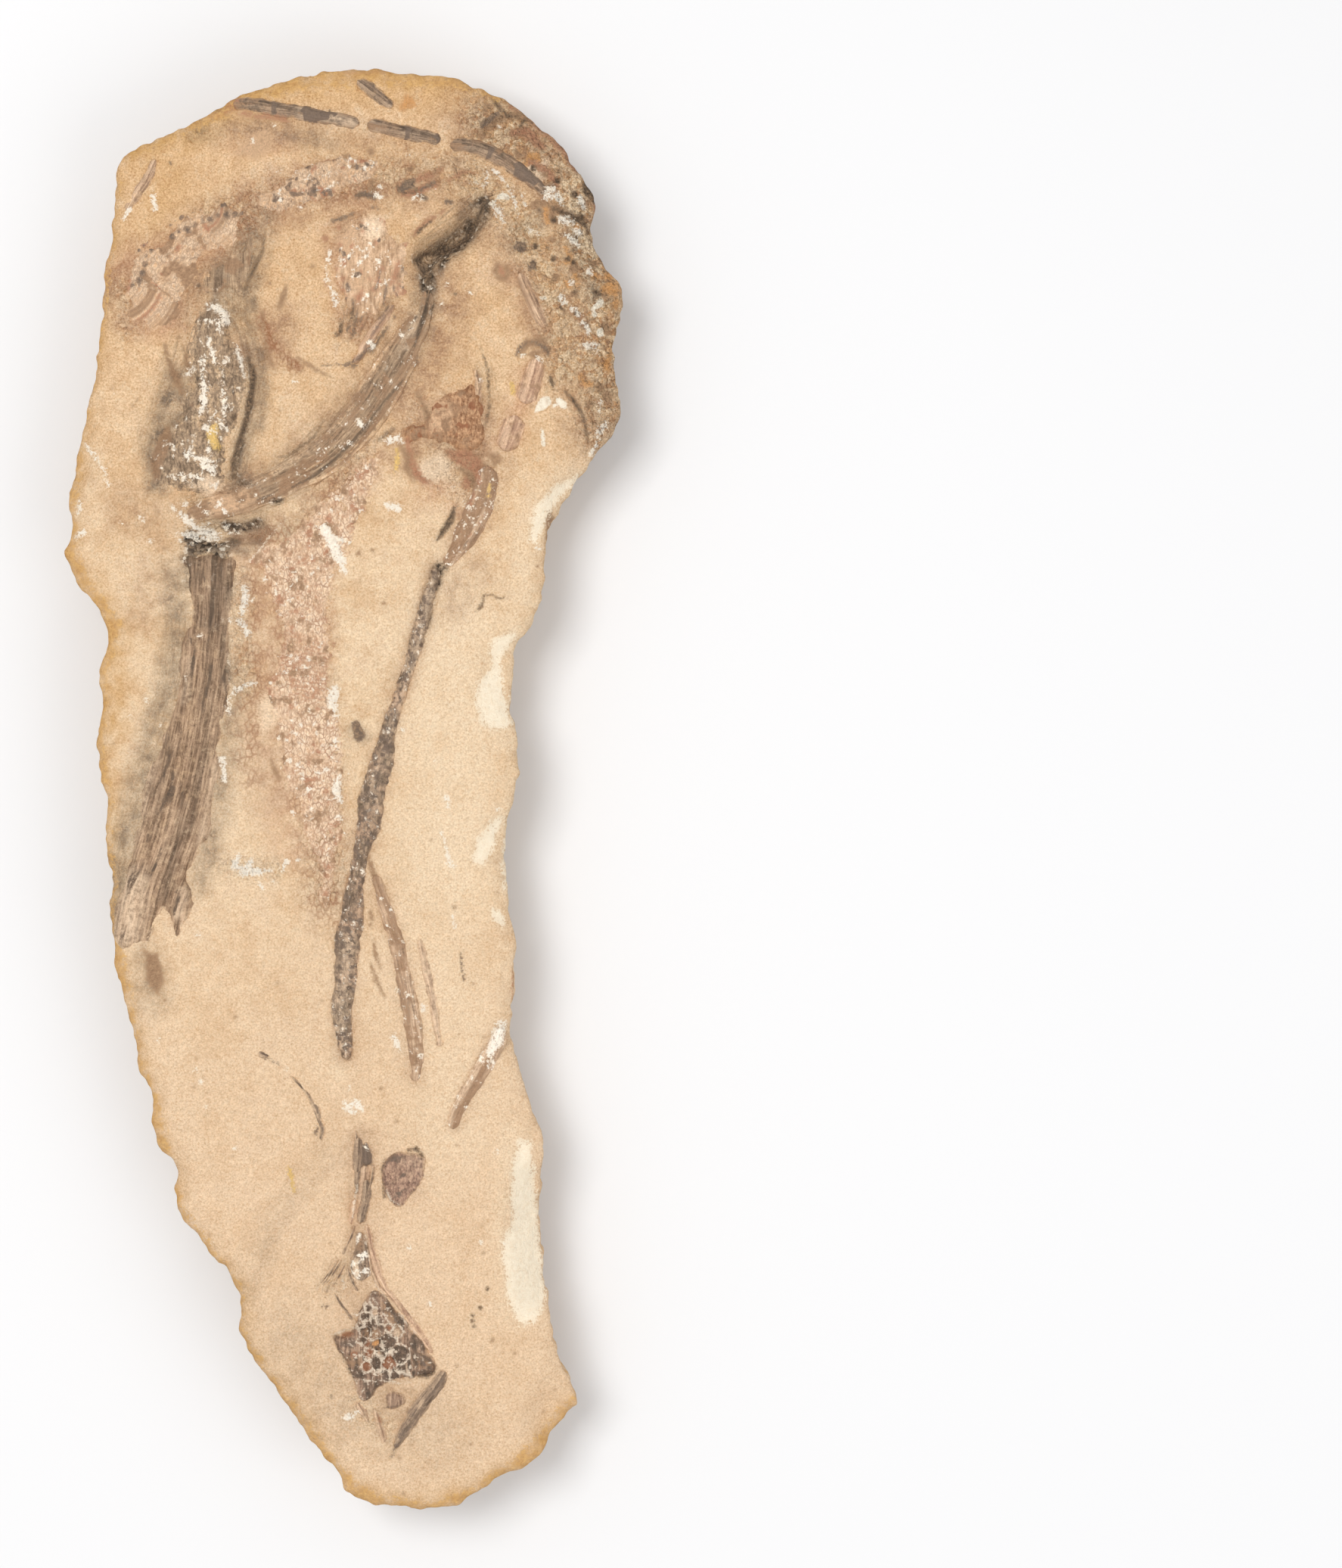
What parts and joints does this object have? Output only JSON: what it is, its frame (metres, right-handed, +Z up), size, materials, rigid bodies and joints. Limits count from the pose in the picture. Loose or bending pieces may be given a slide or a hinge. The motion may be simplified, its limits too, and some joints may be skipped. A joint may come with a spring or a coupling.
{
  "type": "fossil fish slab",
  "caption": "Long curved half of a split limestone nodule, with the dark bones, fin rays and scales of a fish set flush in its flat face; it lies on its back for display",
  "frame": {"origin": "on the flat of the slab's back, under the middle of the bounding box", "axes": "+Z up out of the split face, +Y along the slab towards its broad end, +X across it"},
  "size_m": [0.1924, 0.4958, 0.0431],
  "materials": {
    "stone": "matt cream limestone, fine grained, ochre crust at the rim",
    "grey_bone": "grey-brown mineralised bone, smooth with fine fibres",
    "dark_bone": "dark grey-brown mineralised bone, low sheen",
    "brown_bone": "brown mineralised bone, fibrous, low sheen",
    "red_bone": "red-brown mineralised bone, low sheen",
    "chalky_bone": "grey-brown bone broken up by white chalky crumbs",
    "amber_bone": "amber to dark brown mineralised bone, slightly glossy",
    "shaft_bone": "brown-grey rays with long fibres, low sheen",
    "scale_sheet": "thin tan film of small overlapping scales",
    "skull_bone": "small amber and dark plates between pale walls"
  },
  "bodies": {
    "root": {"stone_slab": "stone", "head_bar_left": "grey_bone", "head_bar_middle": "grey_bone", "head_bar_right": "grey_bone", "top_splinter": "dark_bone", "edge_splinter": "brown_bone", "arch_bone": "dark_bone", "gill_splinter": "red_bone", "shoulder_rod_upper": "brown_bone", "shoulder_rod_middle": "red_bone", "shoulder_rod_lower": "red_bone", "club_bone": "brown_bone", "long_rod": "grey_bone", "fork_bone": "brown_bone", "thin_rod": "brown_bone", "side_bone": "brown_bone", "neck_blade_upper": "dark_bone", "neck_blade_lower": "dark_bone", "neck_stem": "dark_bone", "tail_spine": "dark_bone", "fin_scales": "red_bone", "fin_lobe": "red_bone", "cheek_bone": "dark_bone", "gill_plate": "grey_bone", "chalky_bone": "chalky_bone", "amber_plate": "amber_bone", "striated_shaft": "shaft_bone", "flank_scales": "scale_sheet", "oval_bone": "red_bone", "skull_bones": "skull_bone", "jaw_plate": "skull_bone"}
  },
  "joints": []
}
